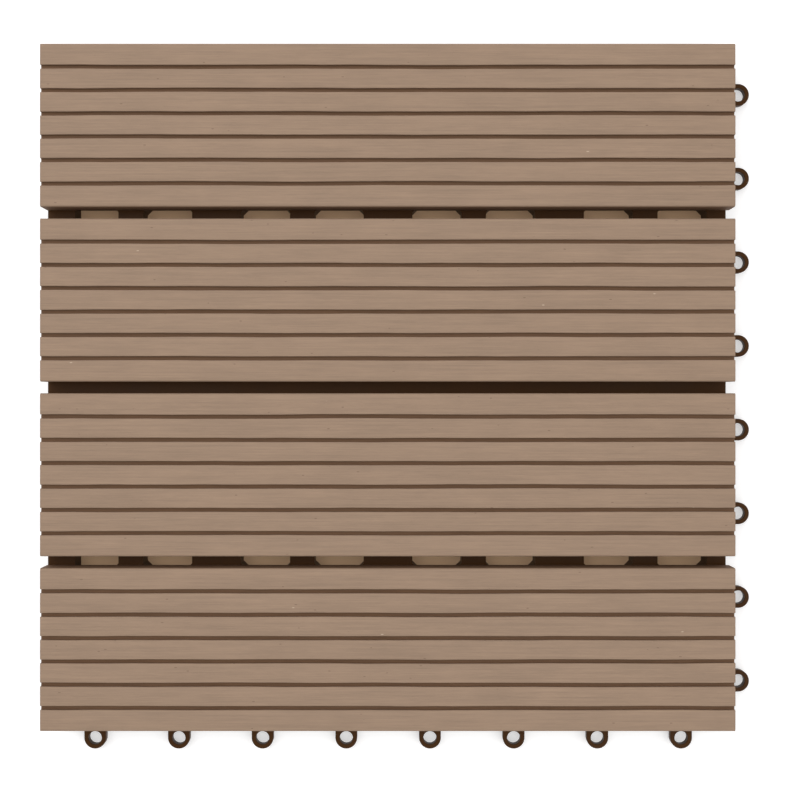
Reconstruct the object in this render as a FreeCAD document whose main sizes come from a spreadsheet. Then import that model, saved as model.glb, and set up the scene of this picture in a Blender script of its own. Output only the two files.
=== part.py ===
import FreeCAD, Part

import os

import Sketcher
from FreeCAD import Placement, Rotation, Vector

# Interlocking deck tile: four grooved slats screwed from below onto one moulded base grid.
# Millimetres. +Z is up and +X runs along the slats. The origin is the centre of the tile, on the
# plane it stands on. Loops stand out on the +X and -Y sides. Pegs hang under the edge on the
# -X and +Y sides, where they drop into the loops of the next tiles.

document = FreeCAD.newDocument("deck_tile")

FLAT = 1e-6

SIZES = (
    ("slat_count", 4, "slats, and rows and columns of screw bosses"),
    ("slat_pitch", 75, "from slat to slat, and from boss to boss"),
    ("slat_gap", 5, "between slats"),
    ("tile_play", 0.5, "added to the slats' own pitch from tile to tile"),
    ("end_gap", 2.5, "between the ends of slats on neighbouring tiles"),
    ("slat_thickness", 11, "over the ribs"),
    ("slat_corner", 0.8, "chamfer of the four upright corners and the ends' top edges"),
    ("slat_edge", 0.9, "chamfer of the two long top edges"),
    ("groove_count", 6, "grooves in each slat"),
    ("groove_width", 2.0, "across the groove"),
    ("groove_depth", 1.7, "below the ribs"),
    ("flute_width", 8, "shallow channel under the slat"),
    ("flute_depth", 1.6, "up from the slat's underside"),
    ("flutes_per_side", 2, "flutes either side of the middle land"),
    ("base_height", 11, "ground to the underside of the slats"),
    ("rib_wall", 1.8, "thickness of the ribs"),
    ("rib_lift", 2.5, "ground to the underside of ribs and bosses"),
    ("rail_width", 12, "rail under each gap between slats"),
    ("boss_radius", 6.5, "screw boss"),
    ("short_bridge", 10.7, "rail between windows, in a boss column"),
    ("long_bridge", 21.3, "rail between windows, between boss columns"),
    ("window_width", 8, "drain window across the rail"),
    ("window_clip", 2.2, "corners cut off the drain window"),
    ("skin", 2.4, "top skin over a hollow cored from below"),
    ("wall", 1.6, "upright wall on the peg sides"),
    ("bar_width", 8.3, "hollow bar on the loop sides"),
    ("bar_inset", 1.3, "bar's face inside the slats' edge"),
    ("bar_web", 4.5, "between the hollows in a bar, one behind each pair of loops"),
    ("notch_width", 12, "drain notch under the side walls"),
    ("loop_count", 8, "loops, or pegs, on a side"),
    ("loop_margin", 20.75, "first loop from the corner of the tile's share of floor"),
    ("loop_overhang", 4.45, "middle of a loop beyond the tile's share of floor"),
    ("loop_radius", 4.8, "outside of the loop"),
    ("loop_hole", 2.9, "radius of the hole in the loop"),
    ("loop_bottom", 1.2, "ground to the loop"),
    ("loop_thickness", 3.8, "height of the loop"),
    ("loop_tip_gap", 2.5, "tip of the next tile's loop to the wall"),
    ("peg_fit", 0.3, "radial clearance of a peg in a loop"),
    ("peg_tip", 1.6, "ground to the tip of a peg"),
    ("ledge_gap", 0.5, "next tile's loop to the ledge above it"),
    ("ledge_lip", 0.3, "ledge beyond the pegs"),
    ("screw_columns", 2, "screws along each slat"),
    ("screw_radius", 1.5, "shank"),
    ("screw_grip", 6.5, "length of shank in the slat"),
    ("head_radius", 3.3, "pan head"),
    ("head_height", 1.8, "pan head"),
    ("hole_clearance", 0.3, "around the shank in the boss"),
    ("thread_clearance", 0.05, "around the shank in the slat"),
    ("pilot_spare", 0.5, "pilot hole beyond the screw's end"),
)

sheet = document.addObject("Spreadsheet::Sheet", "sizes")
for row, (alias, size, note) in enumerate(SIZES, start=1):
    sheet.set(f"A{row}", note)
    sheet.set(f"B{row}", str(size))
    sheet.setAlias(f"B{row}", alias)
document.recompute()

# Places worked out from the sheet, as text for the expressions below.
TILE_PITCH = "(sizes.slat_count * sizes.slat_pitch + sizes.tile_play)"
SLAT_LENGTH = f"({TILE_PITCH} - sizes.end_gap)"
SLAT_WIDTH = "(sizes.slat_pitch - sizes.slat_gap)"
ARRAY_DEPTH = f"((sizes.slat_count - 1) * sizes.slat_pitch + {SLAT_WIDTH})"
GROOVE_PITCH = f"({SLAT_WIDTH} / (sizes.groove_count + 1))"
FLUTE_PITCH = f"({SLAT_WIDTH} / (2 * sizes.flutes_per_side + 1))"
FIRST_SLAT = "(-(sizes.slat_count - 1) / 2 * sizes.slat_pitch)"
FIRST_RAIL = "(-(sizes.slat_count - 2) / 2 * sizes.slat_pitch)"
WINDOW_LENGTH = "((sizes.slat_pitch - sizes.short_bridge - sizes.long_bridge) / 2)"
WINDOW_OFFSET = f"((sizes.short_bridge + {WINDOW_LENGTH}) / 2)"
FIRST_LOOP = f"(sizes.loop_margin - {TILE_PITCH} / 2)"
LOOP_PITCH = f"(-2 * {FIRST_LOOP} / (sizes.loop_count - 1))"
LOOP_REACH = f"({TILE_PITCH} / 2 + sizes.loop_overhang)"
BAR_FACE_X = f"({SLAT_LENGTH} / 2 - sizes.bar_inset)"
BAR_FACE_Y = f"({ARRAY_DEPTH} / 2 - sizes.bar_inset)"
PEG_REACH = f"({TILE_PITCH} / 2 - sizes.loop_overhang)"
PEG_RADIUS = "(sizes.loop_hole - sizes.peg_fit)"
WALL_FACE = f"({PEG_REACH} - sizes.loop_radius - sizes.loop_tip_gap)"
LEDGE_EDGE = f"({PEG_REACH} + {PEG_RADIUS} + sizes.ledge_lip)"
LOOP_TOP = "(sizes.loop_bottom + sizes.loop_thickness)"
LEDGE_UNDER = f"({LOOP_TOP} + sizes.ledge_gap)"
SCREW_SPAN = "((sizes.slat_count - 1) / (sizes.screw_columns - 1) * sizes.slat_pitch)"
SCREW_COLUMNS = ("X_Axis", SCREW_SPAN, "sizes.screw_columns")
CORE_DEPTH = "(sizes.base_height - sizes.skin)"
HEAD_BOTTOM = "(sizes.rib_lift - sizes.head_height)"
BOSS_TO_SLAT = "(sizes.base_height - sizes.rib_lift)"
SHANK = f"({BOSS_TO_SLAT} + sizes.screw_grip)"


def new_body(label):
    body = document.addObject("PartDesign::Body", label)
    body.Label = label
    return body


def origin_item(body, role):
    for item in body.Origin.OriginFeatures:
        if item.Role == role:
            return item
    raise ValueError(role)


def new_sketch(body, name, x="0", y="0", z="0", turn=0.0, plane="XY_Plane"):
    """A sketch on one of the body's own planes, shifted in that plane's directions."""
    sketch = body.newObject("Sketcher::SketchObject", name)
    sketch.AttachmentSupport = (origin_item(body, plane), [""])
    sketch.MapMode = "FlatFace"
    sketch.AttachmentOffset = Placement(Vector(0, 0, 0), Rotation(Vector(0, 0, 1), turn))
    sketch.setExpression("AttachmentOffset.Base.x", x)
    sketch.setExpression("AttachmentOffset.Base.y", y)
    sketch.setExpression("AttachmentOffset.Base.z", z)
    return sketch


def bind(sketch, name, expression, kind, *where):
    """Adds a driving constraint and ties its value to the sheet."""
    index = sketch.addConstraint(Sketcher.Constraint(kind, *where))
    sketch.renameConstraint(index, name)
    sketch.setExpression(f"Constraints.{name}", expression)


def rectangle(sketch, left, right, bottom, top, tag=""):
    """A rectangle whose four sides are placed from the sketch's origin."""
    corners = (Vector(-1, -1, 0), Vector(1, -1, 0), Vector(1, 1, 0), Vector(-1, 1, 0))
    lines = []
    for number in range(4):
        line = Part.LineSegment(corners[number], corners[(number + 1) % 4])
        lines.append(sketch.addGeometry(line))
    for number in range(4):
        after = lines[(number + 1) % 4]
        sketch.addConstraint(Sketcher.Constraint("Coincident", lines[number], 2, after, 1))
        direction = "Horizontal" if number % 2 == 0 else "Vertical"
        sketch.addConstraint(Sketcher.Constraint(direction, lines[number]))
    bind(sketch, f"left{tag}", left, "DistanceX", -1, 1, lines[0], 1, -1.0)
    bind(sketch, f"right{tag}", right, "DistanceX", -1, 1, lines[1], 1, 1.0)
    bind(sketch, f"bottom{tag}", bottom, "DistanceY", -1, 1, lines[0], 1, -1.0)
    bind(sketch, f"top{tag}", top, "DistanceY", -1, 1, lines[2], 1, 1.0)


def strip(sketch, length, width):
    """A rectangle about the sketch's origin."""
    rectangle(sketch, f"-{length} / 2", f"{length} / 2", f"-{width} / 2", f"{width} / 2")


def disc(sketch, radius):
    circle = sketch.addGeometry(Part.Circle(Vector(0, 0, 0), Vector(0, 0, 1), 1.0))
    sketch.addConstraint(Sketcher.Constraint("Coincident", circle, 3, -1, 1))
    bind(sketch, "radius", radius, "Radius", circle, 1.0)


def clipped_strip(sketch, length, width, clip):
    """A rectangle about the sketch's origin with its four corners cut off at 45 degrees."""
    corners = (
        Vector(-2, -3, 0), Vector(2, -3, 0), Vector(3, -2, 0), Vector(3, 2, 0),
        Vector(2, 3, 0), Vector(-2, 3, 0), Vector(-3, 2, 0), Vector(-3, -2, 0),
    )
    lines = []
    for number, corner in enumerate(corners):
        line = Part.LineSegment(corner, corners[(number + 1) % 8])
        lines.append(sketch.addGeometry(line))
    for number in range(8):
        after = lines[(number + 1) % 8]
        sketch.addConstraint(Sketcher.Constraint("Coincident", lines[number], 2, after, 1))
    front, right, back, left = lines[0], lines[2], lines[4], lines[6]
    sketch.addConstraint(Sketcher.Constraint("Horizontal", front))
    sketch.addConstraint(Sketcher.Constraint("Vertical", right))
    sketch.addConstraint(Sketcher.Constraint("Horizontal", back))
    sketch.addConstraint(Sketcher.Constraint("Vertical", left))
    flat_x = f"{length} / 2 - {clip}"
    flat_y = f"{width} / 2 - {clip}"
    bind(sketch, "front", f"{width} / 2", "DistanceY", front, 1, -1, 1, 3.0)
    bind(sketch, "back", f"{width} / 2", "DistanceY", -1, 1, back, 1, 3.0)
    bind(sketch, "right", f"{length} / 2", "DistanceX", -1, 1, right, 1, 3.0)
    bind(sketch, "left", f"{length} / 2", "DistanceX", left, 1, -1, 1, 3.0)
    bind(sketch, "front_start", flat_x, "DistanceX", front, 1, -1, 1, 2.0)
    bind(sketch, "front_end", flat_x, "DistanceX", -1, 1, front, 2, 2.0)
    bind(sketch, "back_start", flat_x, "DistanceX", -1, 1, back, 1, 2.0)
    bind(sketch, "back_end", flat_x, "DistanceX", back, 2, -1, 1, 2.0)
    bind(sketch, "right_start", flat_y, "DistanceY", right, 1, -1, 1, 2.0)
    bind(sketch, "right_end", flat_y, "DistanceY", -1, 1, right, 2, 2.0)
    bind(sketch, "left_start", flat_y, "DistanceY", -1, 1, left, 1, 2.0)
    bind(sketch, "left_end", flat_y, "DistanceY", left, 2, -1, 1, 2.0)


def finish_feature(body, feature):
    body.Tip = feature
    document.recompute()
    return feature


def pad(body, sketch, length):
    """Adds material upwards from the sketch."""
    feature = body.newObject("PartDesign::Pad", f"{sketch.Name}_pad")
    feature.Profile = sketch
    feature.setExpression("Length", length)
    return finish_feature(body, feature)


def pad_both_ways(body, sketch, length):
    """Adds material equally to both sides of the sketch."""
    feature = body.newObject("PartDesign::Pad", f"{sketch.Name}_pad")
    feature.Profile = sketch
    feature.SideType = "Symmetric"
    feature.setExpression("Length", length)
    return finish_feature(body, feature)


def cut(body, sketch, length=None, upwards=False, both_ways=False):
    """Removes material below the sketch, down to the end or to a depth."""
    before = body.Shape.Volume
    feature = body.newObject("PartDesign::Pocket", f"{sketch.Name}_cut")
    feature.Profile = sketch
    feature.Reversed = upwards
    if both_ways:
        feature.SideType = "Symmetric"
    if length is None:
        feature.Type = "ThroughAll"
    else:
        feature.setExpression("Length", length)
    finish_feature(body, feature)
    if body.Shape.Volume >= before:
        raise ValueError(f"{sketch.Name} removes nothing")
    return feature


def prism(body, name, sides, radius, height, x, y, z, tool=False):
    """An upright prism with flat sides towards X and Y. The radius is to the middle of a flat."""
    kind = "SubtractivePrism" if tool else "AdditivePrism"
    feature = body.newObject(f"PartDesign::{kind}", name)
    feature.AttachmentSupport = (origin_item(body, "XY_Plane"), [""])
    feature.MapMode = "FlatFace"
    turned = Rotation(Vector(0, 0, 1), 180.0 / sides)
    feature.AttachmentOffset = Placement(Vector(0, 0, 0), turned)
    feature.setExpression("AttachmentOffset.Base.x", x)
    feature.setExpression("AttachmentOffset.Base.y", y)
    feature.setExpression("AttachmentOffset.Base.z", z)
    feature.Polygon = sides
    feature.setExpression("Circumradius", f"({radius}) / cos(180 deg / {sides})")
    feature.setExpression("Height", height)
    return finish_feature(body, feature)


def row_of(body, name, axis, pitch, count):
    row = body.newObject("PartDesign::LinearPattern", name)
    row.Direction = (origin_item(body, axis), [""])
    row.Mode = "Spacing"
    row.setExpression("Offset", pitch)
    row.setExpression("Occurrences", count)
    return row


def repeat(body, features, *ways):
    """Repeats features along one of the body's axes, or along two as a grid.

    Each way is an axis, a pitch and a count.
    """
    name = f"{features[0].Name}_row"
    if len(ways) == 1:
        row = row_of(body, name, *ways[0])
        row.Originals = features
        return finish_feature(body, row)
    grid = body.newObject("PartDesign::MultiTransform", f"{features[0].Name}_grid")
    grid.Originals = features
    grid.Transformations = [row_of(body, name, *way) for way in ways]
    return finish_feature(body, grid)


# The base grid is one moulding. Its rails, ribs, bosses, frame, loops and pegs are shaped one by
# one and then fused, and the screw holes are cut last.

INNER_LEFT = f"({WALL_FACE} - sizes.wall)"
INNER_RIGHT = f"({BAR_FACE_X} - sizes.bar_width)"
INNER_FRONT = f"({BAR_FACE_Y} - sizes.bar_width)"
INSIDE_LEFT = f"-({INNER_LEFT} + sizes.wall / 2)"
INSIDE_RIGHT = f"{INNER_RIGHT} + sizes.wall / 2"
INSIDE_FRONT = f"-({INNER_FRONT} + sizes.wall / 2)"
INSIDE_BACK = f"{INNER_LEFT} + sizes.wall / 2"
COLUMNS = ("X_Axis", "sizes.slat_pitch", "sizes.slat_count")
ROWS = ("Y_Axis", "sizes.slat_pitch", "sizes.slat_count")
WINDOW_SIDES = (("before", "-"), ("after", "+"))


def make_rails():
    """Broad rails on the ground under the outer gaps, with drain windows between their bridges."""
    body = new_body("rails")
    sketch = new_sketch(body, "rail", y=FIRST_RAIL)
    half_width = "sizes.rail_width / 2"
    rectangle(sketch, INSIDE_LEFT, INSIDE_RIGHT, f"-{half_width}", half_width)
    rail = pad(body, sketch, "sizes.base_height")
    repeat(body, [rail], ("Y_Axis", f"-2 * {FIRST_RAIL}", "2"))
    for name, side in WINDOW_SIDES:
        place = f"{FIRST_SLAT} {side} {WINDOW_OFFSET}"
        sketch = new_sketch(body, f"window_{name}", place, FIRST_RAIL, "sizes.base_height")
        clipped_strip(sketch, WINDOW_LENGTH, "sizes.window_width", "sizes.window_clip")
        window = cut(body, sketch)
        repeat(body, [window], COLUMNS, ("Y_Axis", f"-2 * {FIRST_RAIL}", "2"))
    return body


def make_middle_rail():
    """The rail under the middle gap is closed on top and cored from below."""
    body = new_body("middle_rail")
    sketch = new_sketch(body, "middle")
    half_width = "sizes.rail_width / 2"
    rectangle(sketch, INSIDE_LEFT, INSIDE_RIGHT, f"-{half_width}", half_width)
    pad(body, sketch, "sizes.base_height")
    for name, side in WINDOW_SIDES:
        place = f"{FIRST_SLAT} {side} {WINDOW_OFFSET}"
        sketch = new_sketch(body, f"core_{name}", place, z=CORE_DEPTH)
        strip(sketch, WINDOW_LENGTH, "sizes.window_width")
        core = cut(body, sketch)
        repeat(body, [core], COLUMNS)
    return body


def make_ribs():
    """Ribs under the slats, lifted off the ground: lengthwise, crosswise and diagonal."""
    half_wall = "sizes.rib_wall / 2"
    long_ribs = new_body("long_ribs")
    sketch = new_sketch(long_ribs, "long_rib", y=FIRST_SLAT, z="sizes.rib_lift")
    rectangle(sketch, INSIDE_LEFT, INSIDE_RIGHT, f"-{half_wall}", half_wall)
    rib = pad(long_ribs, sketch, BOSS_TO_SLAT)
    repeat(long_ribs, [rib], ROWS)

    cross_ribs = new_body("cross_ribs")
    sketch = new_sketch(cross_ribs, "cross_rib", x=FIRST_SLAT, z="sizes.rib_lift")
    rectangle(sketch, f"-{half_wall}", half_wall, INSIDE_FRONT, INSIDE_BACK)
    rib = pad(cross_ribs, sketch, BOSS_TO_SLAT)
    repeat(cross_ribs, [rib], ("X_Axis", "sizes.slat_pitch / 2", "2 * sizes.slat_count - 1"))

    between = (
        ("X_Axis", "sizes.slat_pitch", "sizes.slat_count - 1"),
        ("Y_Axis", "sizes.slat_pitch", "sizes.slat_count - 1"),
    )
    bodies = [long_ribs, cross_ribs]
    for name, turn in (("rising_ribs", 45.0), ("falling_ribs", -45.0)):
        body = new_body(name)
        sketch = new_sketch(body, f"{name}_strip", FIRST_RAIL, FIRST_RAIL, "sizes.rib_lift", turn)
        strip(sketch, "(sizes.slat_pitch * sqrt(2))", "sizes.rib_wall")
        rib = pad(body, sketch, BOSS_TO_SLAT)
        repeat(body, [rib], *between)
        bodies.append(body)
    return bodies


def make_bosses():
    body = new_body("bosses")
    place = (FIRST_SLAT, FIRST_SLAT, "sizes.rib_lift")
    boss = prism(body, "boss", 8, "sizes.boss_radius", BOSS_TO_SLAT, *place)
    repeat(body, [boss], COLUMNS, ROWS)
    return body


def make_frame():
    """Wall with a ledge on the peg sides, hollow bar on the loop sides, notches to drain."""
    body = new_body("frame")
    outline_left = f"-{WALL_FACE}"
    outline_front = f"-{BAR_FACE_Y}"
    for name, left, front, back, z in (
        ("skirt", outline_left, outline_front, WALL_FACE, "0"),
        ("ledge", f"-{LEDGE_EDGE}", outline_front, LEDGE_EDGE, LEDGE_UNDER),
    ):
        sketch = new_sketch(body, name, z=z)
        rectangle(sketch, left, BAR_FACE_X, front, back, "_outer")
        rectangle(sketch, f"-{INNER_LEFT}", INNER_RIGHT, f"-{INNER_FRONT}", INNER_LEFT, "_inner")
        pad(body, sketch, f"sizes.base_height - {z}")

    sketch = new_sketch(body, "notch", y=FIRST_SLAT, z="sizes.rib_lift")
    half_width = "sizes.notch_width / 2"
    rectangle(sketch, outline_left, BAR_FACE_X, f"-{half_width}", half_width)
    notch = cut(body, sketch)
    repeat(body, [notch], ROWS)

    middle_x = f"{BAR_FACE_X} - sizes.bar_width / 2"
    middle_y = f"-({BAR_FACE_Y} - sizes.bar_width / 2)"
    core_width = "(sizes.bar_width - 2 * sizes.wall)"
    core_length = f"(2 * {LOOP_PITCH} - sizes.bar_web)"
    first_core = f"({FIRST_LOOP} + {LOOP_PITCH} / 2)"
    sketch = new_sketch(body, "right_core", middle_x, first_core, CORE_DEPTH)
    strip(sketch, core_width, core_length)
    core = cut(body, sketch)
    repeat(body, [core], ("Y_Axis", f"2 * {LOOP_PITCH}", "sizes.loop_count / 2"))
    sketch = new_sketch(body, "front_core", first_core, middle_y, CORE_DEPTH)
    strip(sketch, core_length, core_width)
    core = cut(body, sketch)
    repeat(body, [core], ("X_Axis", f"2 * {LOOP_PITCH}", "sizes.loop_count / 2"))
    return body


def make_loops():
    """Loops on the +X side, and the same ones on the -Y side."""
    radius = "sizes.loop_radius"
    back_x = f"({BAR_FACE_X} - sizes.wall / 2 - {LOOP_REACH})"
    back_y = f"({LOOP_REACH} - {BAR_FACE_Y} + sizes.wall / 2)"
    bodies = []
    for name, x, y, sides, axis in (
        ("right_loops", LOOP_REACH, FIRST_LOOP, (back_x, "0", f"-{radius}", radius), "Y_Axis"),
        ("front_loops", FIRST_LOOP, f"-{LOOP_REACH}", (f"-{radius}", radius, "0", back_y), "X_Axis"),
    ):
        body = new_body(name)
        sketch = new_sketch(body, f"{name}_tab", x, y, "sizes.loop_bottom")
        rectangle(sketch, *sides)
        tab = pad(body, sketch, "sizes.loop_thickness")
        place = (x, y, "sizes.loop_bottom")
        end = prism(body, f"{name}_end", 12, radius, "sizes.loop_thickness", *place)
        sketch = new_sketch(body, f"{name}_hole", x, y, LOOP_TOP)
        disc(sketch, "sizes.loop_hole")
        hole = cut(body, sketch)
        repeat(body, [tab, end, hole], (axis, LOOP_PITCH, "sizes.loop_count"))
        bodies.append(body)
    return bodies


def make_pegs():
    """Pegs under the ledge, where the next tiles' loops come."""
    bodies = []
    for name, x, y, axis in (
        ("left_pegs", f"-{PEG_REACH}", FIRST_LOOP, "Y_Axis"),
        ("back_pegs", FIRST_LOOP, PEG_REACH, "X_Axis"),
    ):
        body = new_body(name)
        sketch = new_sketch(body, f"{name}_disc", x, y, "sizes.peg_tip")
        disc(sketch, PEG_RADIUS)
        peg = pad(body, sketch, f"{LEDGE_UNDER} - sizes.peg_tip")
        repeat(body, [peg], (axis, LOOP_PITCH, "sizes.loop_count"))
        bodies.append(body)
    return bodies


def make_screw_holes():
    body = new_body("screw_holes")
    place = (FIRST_SLAT, FIRST_SLAT, "0")
    radius = "sizes.screw_radius + sizes.hole_clearance"
    hole = prism(body, "screw_hole", 8, radius, "sizes.base_height", *place)
    repeat(body, [hole], SCREW_COLUMNS, ROWS)
    return body


moulding = document.addObject("Part::MultiFuse", "moulding")
moulding.Shapes = (
    [make_rails(), make_middle_rail(), make_bosses(), make_frame()]
    + make_ribs()
    + make_loops()
    + make_pegs()
)
moulding.Refine = True
base = document.addObject("Part::Cut", "base_grid")
base.Label = "base_grid"
base.Base = moulding
base.Tool = make_screw_holes()
base.Refine = True
document.recompute()


# The slats are alike: an extruded board with grooves on top, flutes below and blind pilot holes.


def long_edges(shape, height):
    """Names of the edges that run along X at a height."""
    names = []
    for number, edge in enumerate(shape.Edges, start=1):
        box = edge.BoundBox
        along = box.XLength > 1.0 and box.YLength < FLAT and box.ZLength < FLAT
        if along and abs(box.ZMin - height) < FLAT:
            names.append(f"Edge{number}")
    return names


def upright_edges(shape):
    names = []
    for number, edge in enumerate(shape.Edges, start=1):
        box = edge.BoundBox
        if box.ZLength > 1.0 and box.XLength < FLAT and box.YLength < FLAT:
            names.append(f"Edge{number}")
    return names


def chamfer(body, edges, size):
    last = body.Tip
    feature = body.newObject("PartDesign::Chamfer", f"{last.Name}_chamfer")
    feature.Base = (last, edges)
    feature.setExpression("Size", size)
    return finish_feature(body, feature)


def make_slat(number):
    slat = new_body(f"slat_{number}")
    slat.setExpression("Placement.Base.y", f"{FIRST_SLAT} + {number - 1} * sizes.slat_pitch")
    slat.setExpression("Placement.Base.z", "sizes.base_height")

    sketch = new_sketch(slat, "board", plane="YZ_Plane")
    half_width = f"{SLAT_WIDTH} / 2"
    rectangle(sketch, f"-{half_width}", half_width, "0", "sizes.slat_thickness")
    pad_both_ways(slat, sketch, SLAT_LENGTH)
    thickness = sheet.get("slat_thickness")
    chamfer(slat, long_edges(slat.Shape, thickness), "sizes.slat_edge")
    chamfer(slat, upright_edges(slat.Shape), "sizes.slat_corner")

    first_groove = f"-(sizes.groove_count - 1) / 2 * {GROOVE_PITCH}"
    sketch = new_sketch(slat, "groove", x=first_groove, y="sizes.slat_thickness", plane="YZ_Plane")
    half_width = "sizes.groove_width / 2"
    rectangle(sketch, f"-{half_width}", half_width, "-sizes.groove_depth", "sizes.groove_depth")
    groove = cut(slat, sketch, SLAT_LENGTH, both_ways=True)
    repeat(slat, [groove], ("Y_Axis", GROOVE_PITCH, "sizes.groove_count"))

    for side in (-1, 1):
        for step in range(1, int(sheet.get("flutes_per_side")) + 1):
            place = f"{side * step} * {FLUTE_PITCH}"
            sketch = new_sketch(slat, "flute", x=place, plane="YZ_Plane")
            half_width = "sizes.flute_width / 2"
            rectangle(sketch, f"-{half_width}", half_width, "-sizes.flute_depth", "sizes.flute_depth")
            cut(slat, sketch, SLAT_LENGTH, both_ways=True)

    place = (FIRST_SLAT, "0", "0")
    radius = "sizes.screw_radius + sizes.thread_clearance"
    depth = "sizes.screw_grip + sizes.pilot_spare"
    pilot = prism(slat, "pilot", 8, radius, depth, *place, tool=True)
    repeat(slat, [pilot], SCREW_COLUMNS)
    return slat


slats = [make_slat(number) for number in range(1, int(sheet.get("slat_count")) + 1)]


# The screws rise through the bosses into each slat's solid middle land.

screws = new_body("slat_screws")


screw_place = (FIRST_SLAT, FIRST_SLAT)
screw = [
    prism(screws, "head", 8, "sizes.head_radius", "sizes.head_height", *screw_place, HEAD_BOTTOM),
    prism(screws, "shank", 8, "sizes.screw_radius", SHANK, *screw_place, "sizes.rib_lift"),
]
repeat(screws, screw, SCREW_COLUMNS, ROWS)


document.recompute()
for item in document.Objects:
    if "Invalid" in item.State or "Error" in item.State:
        raise ValueError(f"{item.Label} failed: {item.State}")

pieces = [base] + slats + [screws]
for piece in pieces:
    if piece.Shape.isNull() or not piece.Shape.isValid():
        raise ValueError(f"{piece.Label} has no valid shape")

os.makedirs("parts", exist_ok=True)
for piece in pieces:
    piece.Shape.exportStep(f"parts/{piece.Label}.step")
    print(piece.Label, len(piece.Shape.Solids), "solids", round(piece.Shape.Volume), "mm3")
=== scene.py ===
"""An interlocking deck tile: four brushed composite slats screwed onto one moulded grid base."""

import math

import bmesh
import bpy
from mathutils import Matrix, Vector, noise


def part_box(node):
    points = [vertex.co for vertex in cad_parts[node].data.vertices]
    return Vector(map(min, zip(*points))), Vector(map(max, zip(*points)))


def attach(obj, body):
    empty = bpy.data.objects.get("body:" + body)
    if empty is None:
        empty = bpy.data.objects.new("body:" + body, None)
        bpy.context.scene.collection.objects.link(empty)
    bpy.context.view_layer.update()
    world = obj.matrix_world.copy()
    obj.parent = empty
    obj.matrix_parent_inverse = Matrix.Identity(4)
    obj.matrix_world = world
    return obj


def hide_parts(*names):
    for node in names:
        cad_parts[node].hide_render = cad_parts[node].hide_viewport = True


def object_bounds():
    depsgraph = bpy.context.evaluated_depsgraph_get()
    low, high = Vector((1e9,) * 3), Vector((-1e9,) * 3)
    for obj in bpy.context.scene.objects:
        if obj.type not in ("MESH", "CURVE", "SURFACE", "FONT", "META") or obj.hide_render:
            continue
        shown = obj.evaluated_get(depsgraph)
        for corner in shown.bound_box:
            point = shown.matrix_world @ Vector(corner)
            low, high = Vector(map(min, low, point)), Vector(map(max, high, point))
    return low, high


bl_info = {
    "name": "Interlocking Deck Tile",
    "version": (1, 0, 0),
    "blender": (4, 5, 0),
    "location": "3D Viewport > Sidebar > Deck Tile",
    "description": "Builds a deck tile with brushed slats, a moulded base, screws and a plain stage",
    "category": "Add Mesh",
}

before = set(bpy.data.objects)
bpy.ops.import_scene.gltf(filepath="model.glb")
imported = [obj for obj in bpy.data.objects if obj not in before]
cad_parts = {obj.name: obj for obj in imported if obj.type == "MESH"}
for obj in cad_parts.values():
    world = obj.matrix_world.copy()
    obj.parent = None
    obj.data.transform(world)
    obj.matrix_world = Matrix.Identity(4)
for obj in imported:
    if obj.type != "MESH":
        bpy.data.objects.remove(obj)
cad_low, cad_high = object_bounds()

SLATS = ("slat_1", "slat_2", "slat_3", "slat_4")
# Attribute that marks the groove floors, where painted shade darkens the colour
GROOVE_SHADE_MASK = "painted_groove_shade"

# How near two places are to count as one, in a test, in the base node's mesh and in a new mesh
CLOSE = 1e-5
SAME_POINT = 1e-6
TOUCHING = 1e-7

# Edges shorter than these are slivers that the bevels left
SLAT_SLIVER = 2e-5
BASE_SLIVER = 3e-5

# Angles between faces: one flat surface, a crease kept sharp, a moulded corner, a face folded back
FLAT = math.radians(1)
CREASE = math.radians(40)
CORNER = math.radians(60)
FOLD = math.radians(150)

# Flats that stand for the round walls in the base node
LOOP_FLATS = 12
BOSS_FLATS = 8

# Waves to the metre along a groove: of its middle, and of each wall
DRIFT_RATE = 22
WALL_RATE = 75

# Pan head of a screw: share of its radius and height above its lowest face, and its rim's easing
HEAD_DOME = ((0.62, 0.00006), (0.82, 0.00028), (0.95, 0.00070), (1.0, 0.00115))
HEAD_EASING = 0.00015

# Drive recess: shares of its radius where its flat ends and its wall starts, and the step between
RECESS_FLAT = 0.55
RECESS_FOOT = 0.86
RECESS_STEP = 0.0001

# Lobes of the recess: their number, their swell, and the shares of its radius that they bend
LOBES = 6
LOBE_SWELL = 0.16
LOBES_FROM = 0.6
LOBES_TO = 1.01

# How much wider a screw's neck is than its thread's root
NECK_FLARE = 0.0002

# Plain shank between a screw's head and its thread, and between its thread and its tip
THREAD_LEAD = 0.001
THREAD_RUNOUT = 0.0006

# Rings of a shank's mesh to one turn of its thread, and steps of its spin
RINGS_A_TURN = 4
SPIN_STEPS = 36

# How far the grain's noise is spread, and how strongly a fleck covers what it lies on
GRAIN_GAIN = 4.0
FLECK_COVER = 0.7

# Depth below the rib tops where the brush starts to touch, and where it has taken all the skin
BRUSH_START = 0.0011
BRUSH_FULL = 0.0003

# Depth behind a slat's end where the saw's marks start, and where they are full
SAW_START = 0.0003
SAW_FULL = 0.0001

# Brightness of the floor's glow: a painted bounce light under the tile, and an even white backdrop in
# the open
PAINTED_BOUNCE_GLOW = 0.12
OPEN_GLOW = 0.55

# Brightness of the room, as it lights the tile and as it is seen
ROOM_LIGHT = 0.55
ROOM_SEEN = 1.0

# The floor's size, and how far it lies below the tile
FLOOR_SIZE = 4.0
FLOOR_DROP = 0.0001


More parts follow.
